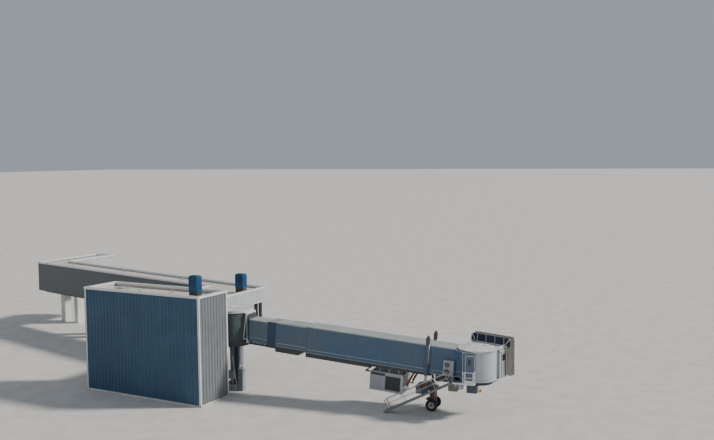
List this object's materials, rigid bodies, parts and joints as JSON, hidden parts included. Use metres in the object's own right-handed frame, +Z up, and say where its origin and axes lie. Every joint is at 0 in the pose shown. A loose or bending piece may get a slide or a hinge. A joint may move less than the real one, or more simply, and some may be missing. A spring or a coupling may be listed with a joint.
{
  "type": "passenger boarding bridge",
  "caption": "Airport boarding bridge: raised walkway on piers, clad stair tower, rotunda, telescoping tunnel on a steered wheel bogie and a turning cab with canopy.",
  "frame": {"origin": "on the ground under the middle of the rotunda column", "axes": "+X along the tower face, the way the bridge reaches; +Y away from the tower along the building; +Z up"},
  "size_m": [36.9914, 16.4072, 6.265],
  "materials": {
    "blue_cabinet": "satin",
    "bogie_paint": "matt",
    "cab_roofing": "matt",
    "cab_skin": "satin",
    "canopy_fabric": "coated cloth",
    "clad_wall": "ribbed sheet, weathered matt",
    "column_paint": "satin",
    "concrete": "cast concrete",
    "curtain": "slatted, satin",
    "dark_steel": "matt",
    "door_paint": "satin",
    "equipment": "satin",
    "flashing": "matt",
    "frame_white": "satin",
    "galvanised": "dull zinc",
    "hub_skin": "matt",
    "leg_steel": "greased",
    "lift_paint": "satin",
    "roof_felt": "rough mineral felt",
    "slab": "cast floor",
    "tunnel_skin": "corrugated sheet, satin",
    "tyre": "worn",
    "walkway_skin": "matt"
  },
  "bodies": {
    "fixed": {"tower_walls": "clad_wall", "tower_roof": "roof_felt", "tower_coping": "flashing", "hub_walls": "hub_skin", "walkway_near_wall": "walkway_skin", "walkway_far_wall": "hub_skin", "walkway_floor": "slab", "walkway_roof": "roof_felt", "walkway_coping": "flashing", "walkway_piers": "concrete", "roof_box_tower": "blue_cabinet", "roof_box_hub": "blue_cabinet", "rotunda_base": "concrete", "rotunda_column": "column_paint", "rotunda_floor": "dark_steel", "rotunda_roof": "cab_roofing", "rotunda_curtains": "curtain"},
    "tower_door": {"tower_door": "door_paint"},
    "turret": {"swing_frame": "frame_white", "swing_curtains": "curtain"},
    "section_a": {"tunnel_a": "tunnel_skin"},
    "section_b": {"tunnel_b": "tunnel_skin"},
    "section_c": {"tunnel_c": "tunnel_skin", "vestibule": "tunnel_skin", "cable_tray": "dark_steel", "lift_saddle": "dark_steel", "lift_columns": "lift_paint", "cabinet": "equipment", "cooling_unit": "equipment", "landing": "galvanised", "cab_ring": "dark_steel", "cab_curtains": "cab_skin"},
    "lift_legs": {"lift_legs": "leg_steel"},
    "lift_beam": {"lift_beam": "bogie_paint"},
    "bogie": {"bogie_frame": "bogie_paint"},
    "wheel_near": {"wheel_near": "tyre"},
    "wheel_far": {"wheel_far": "tyre"},
    "service_stair": {"service_stair": "dark_steel"},
    "cab": {"cab_floor": "dark_steel", "cab_wall": "cab_skin", "cab_roof": "cab_roofing", "cab_nose": "cab_skin", "canopy": "canopy_fabric"},
    "canopy_hoop": {"canopy_hoop": "frame_white"},
    "cab_door": {"cab_door": "door_paint"}
  },
  "joints": [
    {"name": "tower_door_hinge", "type": "hinge", "parent": "fixed", "child": "tower_door", "pos_m": [-6.831, -2.7, 0], "axis": [0, 0, 1], "range_deg": [0, 100]},
    {"name": "rotunda_swing", "type": "hinge", "parent": "fixed", "child": "turret", "pos_m": [0, 0, 2.8], "axis": [0, 0, 1], "range_deg": [-30, 30]},
    {"name": "tunnel_slope", "type": "hinge", "parent": "turret", "child": "section_a", "pos_m": [1.11754, 0.1293, 2.585], "axis": [-0.1149, 0.9934, 0], "range_deg": [-3, 1.7]},
    {"name": "telescope_b", "type": "slide", "parent": "section_a", "child": "section_b", "axis": [0.9907, 0.1146, -0.0732], "range_m": [-0.35, 1.75]},
    {"name": "telescope_c", "type": "slide", "parent": "section_b", "child": "section_c", "axis": [0.9907, 0.1146, -0.0732], "range_m": [-0.35, 1.75]},
    {"name": "lift_extend", "type": "slide", "parent": "section_c", "child": "lift_legs", "axis": [-0.0728, -0.0084, -0.9973], "range_m": [-0.286, 0.5]},
    {"name": "lift_reach", "type": "slide", "parent": "lift_legs", "child": "lift_beam", "axis": [-0.0728, -0.0084, -0.9973], "range_m": [-0.262, 0.056]},
    {"name": "bogie_steer", "type": "hinge", "parent": "lift_beam", "child": "bogie", "pos_m": [10.76812, 1.24591, 0.28], "axis": [0, 0, 1], "range_deg": [-90, 90]},
    {"name": "wheel_near_spin", "type": "hinge", "parent": "bogie", "child": "wheel_near", "pos_m": [10.80548, 0.92307, 0.28], "axis": [-0.1149, 0.9934, 0], "continuous": true},
    {"name": "wheel_far_spin", "type": "hinge", "parent": "bogie", "child": "wheel_far", "pos_m": [10.73077, 1.56876, 0.28], "axis": [-0.1149, 0.9934, 0], "continuous": true},
    {"name": "stair_pivot", "type": "hinge", "parent": "section_c", "child": "service_stair", "pos_m": [12.01982, 1.39074, 1.70002], "axis": [-0.1149, 0.9934, 0], "range_deg": [-7.39, 4.28]},
    {"name": "cab_turn", "type": "hinge", "parent": "section_c", "child": "cab", "pos_m": [12.91386, 1.49418, 1.83002], "axis": [0, 0, 1], "range_deg": [-45, 9]},
    {"name": "canopy_reach", "type": "slide", "parent": "cab", "child": "canopy_hoop", "axis": [0.2656, 0.9641, 0], "range_m": [0, 0.35]},
    {"name": "service_door_hinge", "type": "hinge", "parent": "section_c", "child": "cab_door", "pos_m": [13.07312, 0.55275, 1.87002], "axis": [0, 0, 1], "range_deg": [0, 90]}
  ],
  "couplings": [
    {"joint": "telescope_c", "follows": "telescope_b", "ratio": 1},
    {"joint": "lift_extend", "follows": "tunnel_slope", "m_per_rad": -9.4569},
    {"joint": "lift_reach", "follows": "telescope_b", "ratio": -0.14687},
    {"joint": "stair_pivot", "follows": "tunnel_slope", "ratio": 2.3979}
  ]
}
